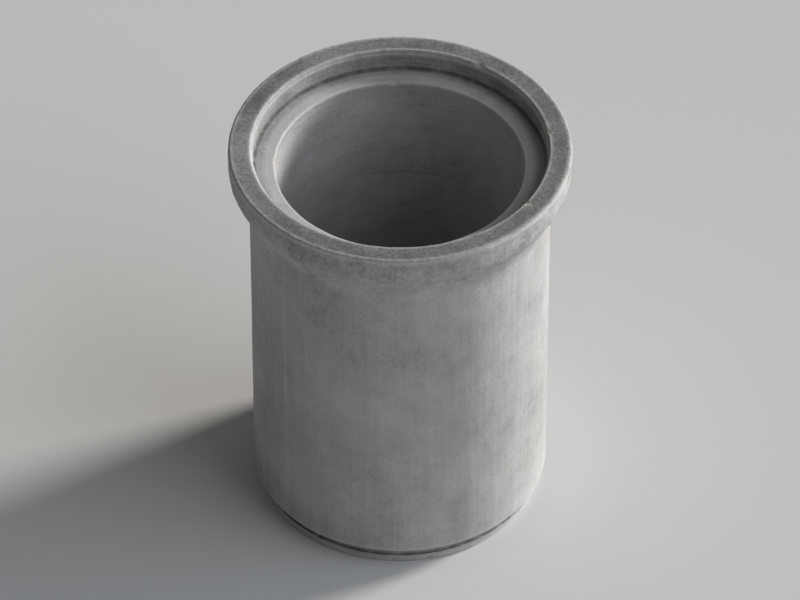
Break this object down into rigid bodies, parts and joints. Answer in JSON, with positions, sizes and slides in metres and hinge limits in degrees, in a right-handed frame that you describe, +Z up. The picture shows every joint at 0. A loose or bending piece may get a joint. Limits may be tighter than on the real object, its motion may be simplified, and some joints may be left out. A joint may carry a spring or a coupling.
{
  "type": "concrete culvert pipe",
  "caption": "Precast concrete culvert pipe with a flared bell socket at one end and a stepped, grooved spigot at the other.",
  "frame": {"origin": "on the floor, on the pipe's axis, at the nose of the spigot that the pipe stands on", "axes": "+Z up along the axis from the spigot to the bell, +X and +Y across"},
  "size_m": [1.65, 1.65, 2.104],
  "materials": {
    "concrete": "cast concrete, matt, weathered"
  },
  "bodies": {
    "root": {"culvert_pipe": "concrete"}
  },
  "joints": []
}
